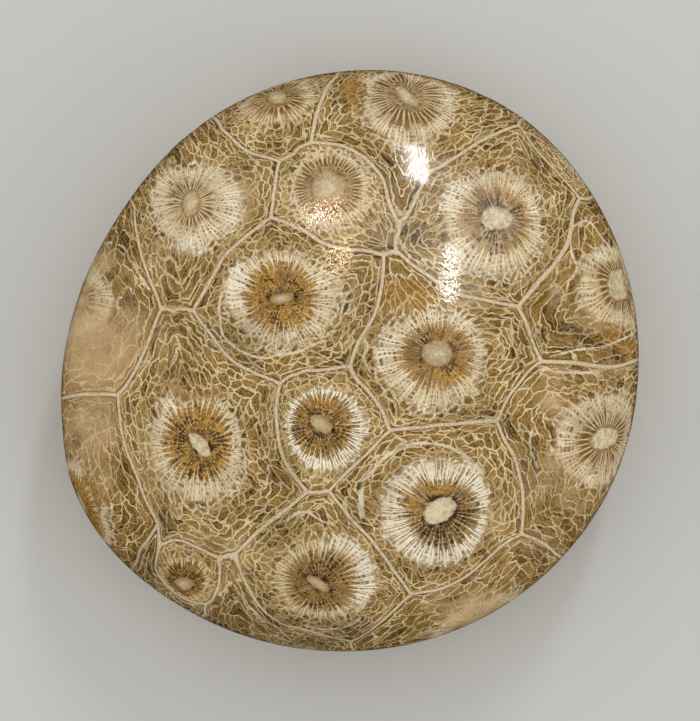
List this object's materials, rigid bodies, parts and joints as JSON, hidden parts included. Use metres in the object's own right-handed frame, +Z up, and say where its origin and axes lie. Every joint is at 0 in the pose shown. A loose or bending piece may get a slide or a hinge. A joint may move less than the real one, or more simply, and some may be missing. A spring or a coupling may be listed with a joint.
{
  "type": "fossil coral head",
  "caption": "Polished head of fossil coral: a rounded, domed pebble of limestone showing flower-like corallites, cut off flat below so that it rests level.",
  "frame": {"origin": "middle of the flat cut, at the bottom centre of the part's box", "axes": "+Z up, square to the cut and out through the dome; +Y and +X lie in the cut, with the soft corner of the outline towards -X and -Y"},
  "size_m": [0.0756, 0.0762, 0.03],
  "materials": {
    "polished_coral": "fossil coral limestone, polished: cream walls and septa on olive-brown and amber"
  },
  "bodies": {
    "root": {"coral_head": "polished_coral"}
  },
  "joints": []
}
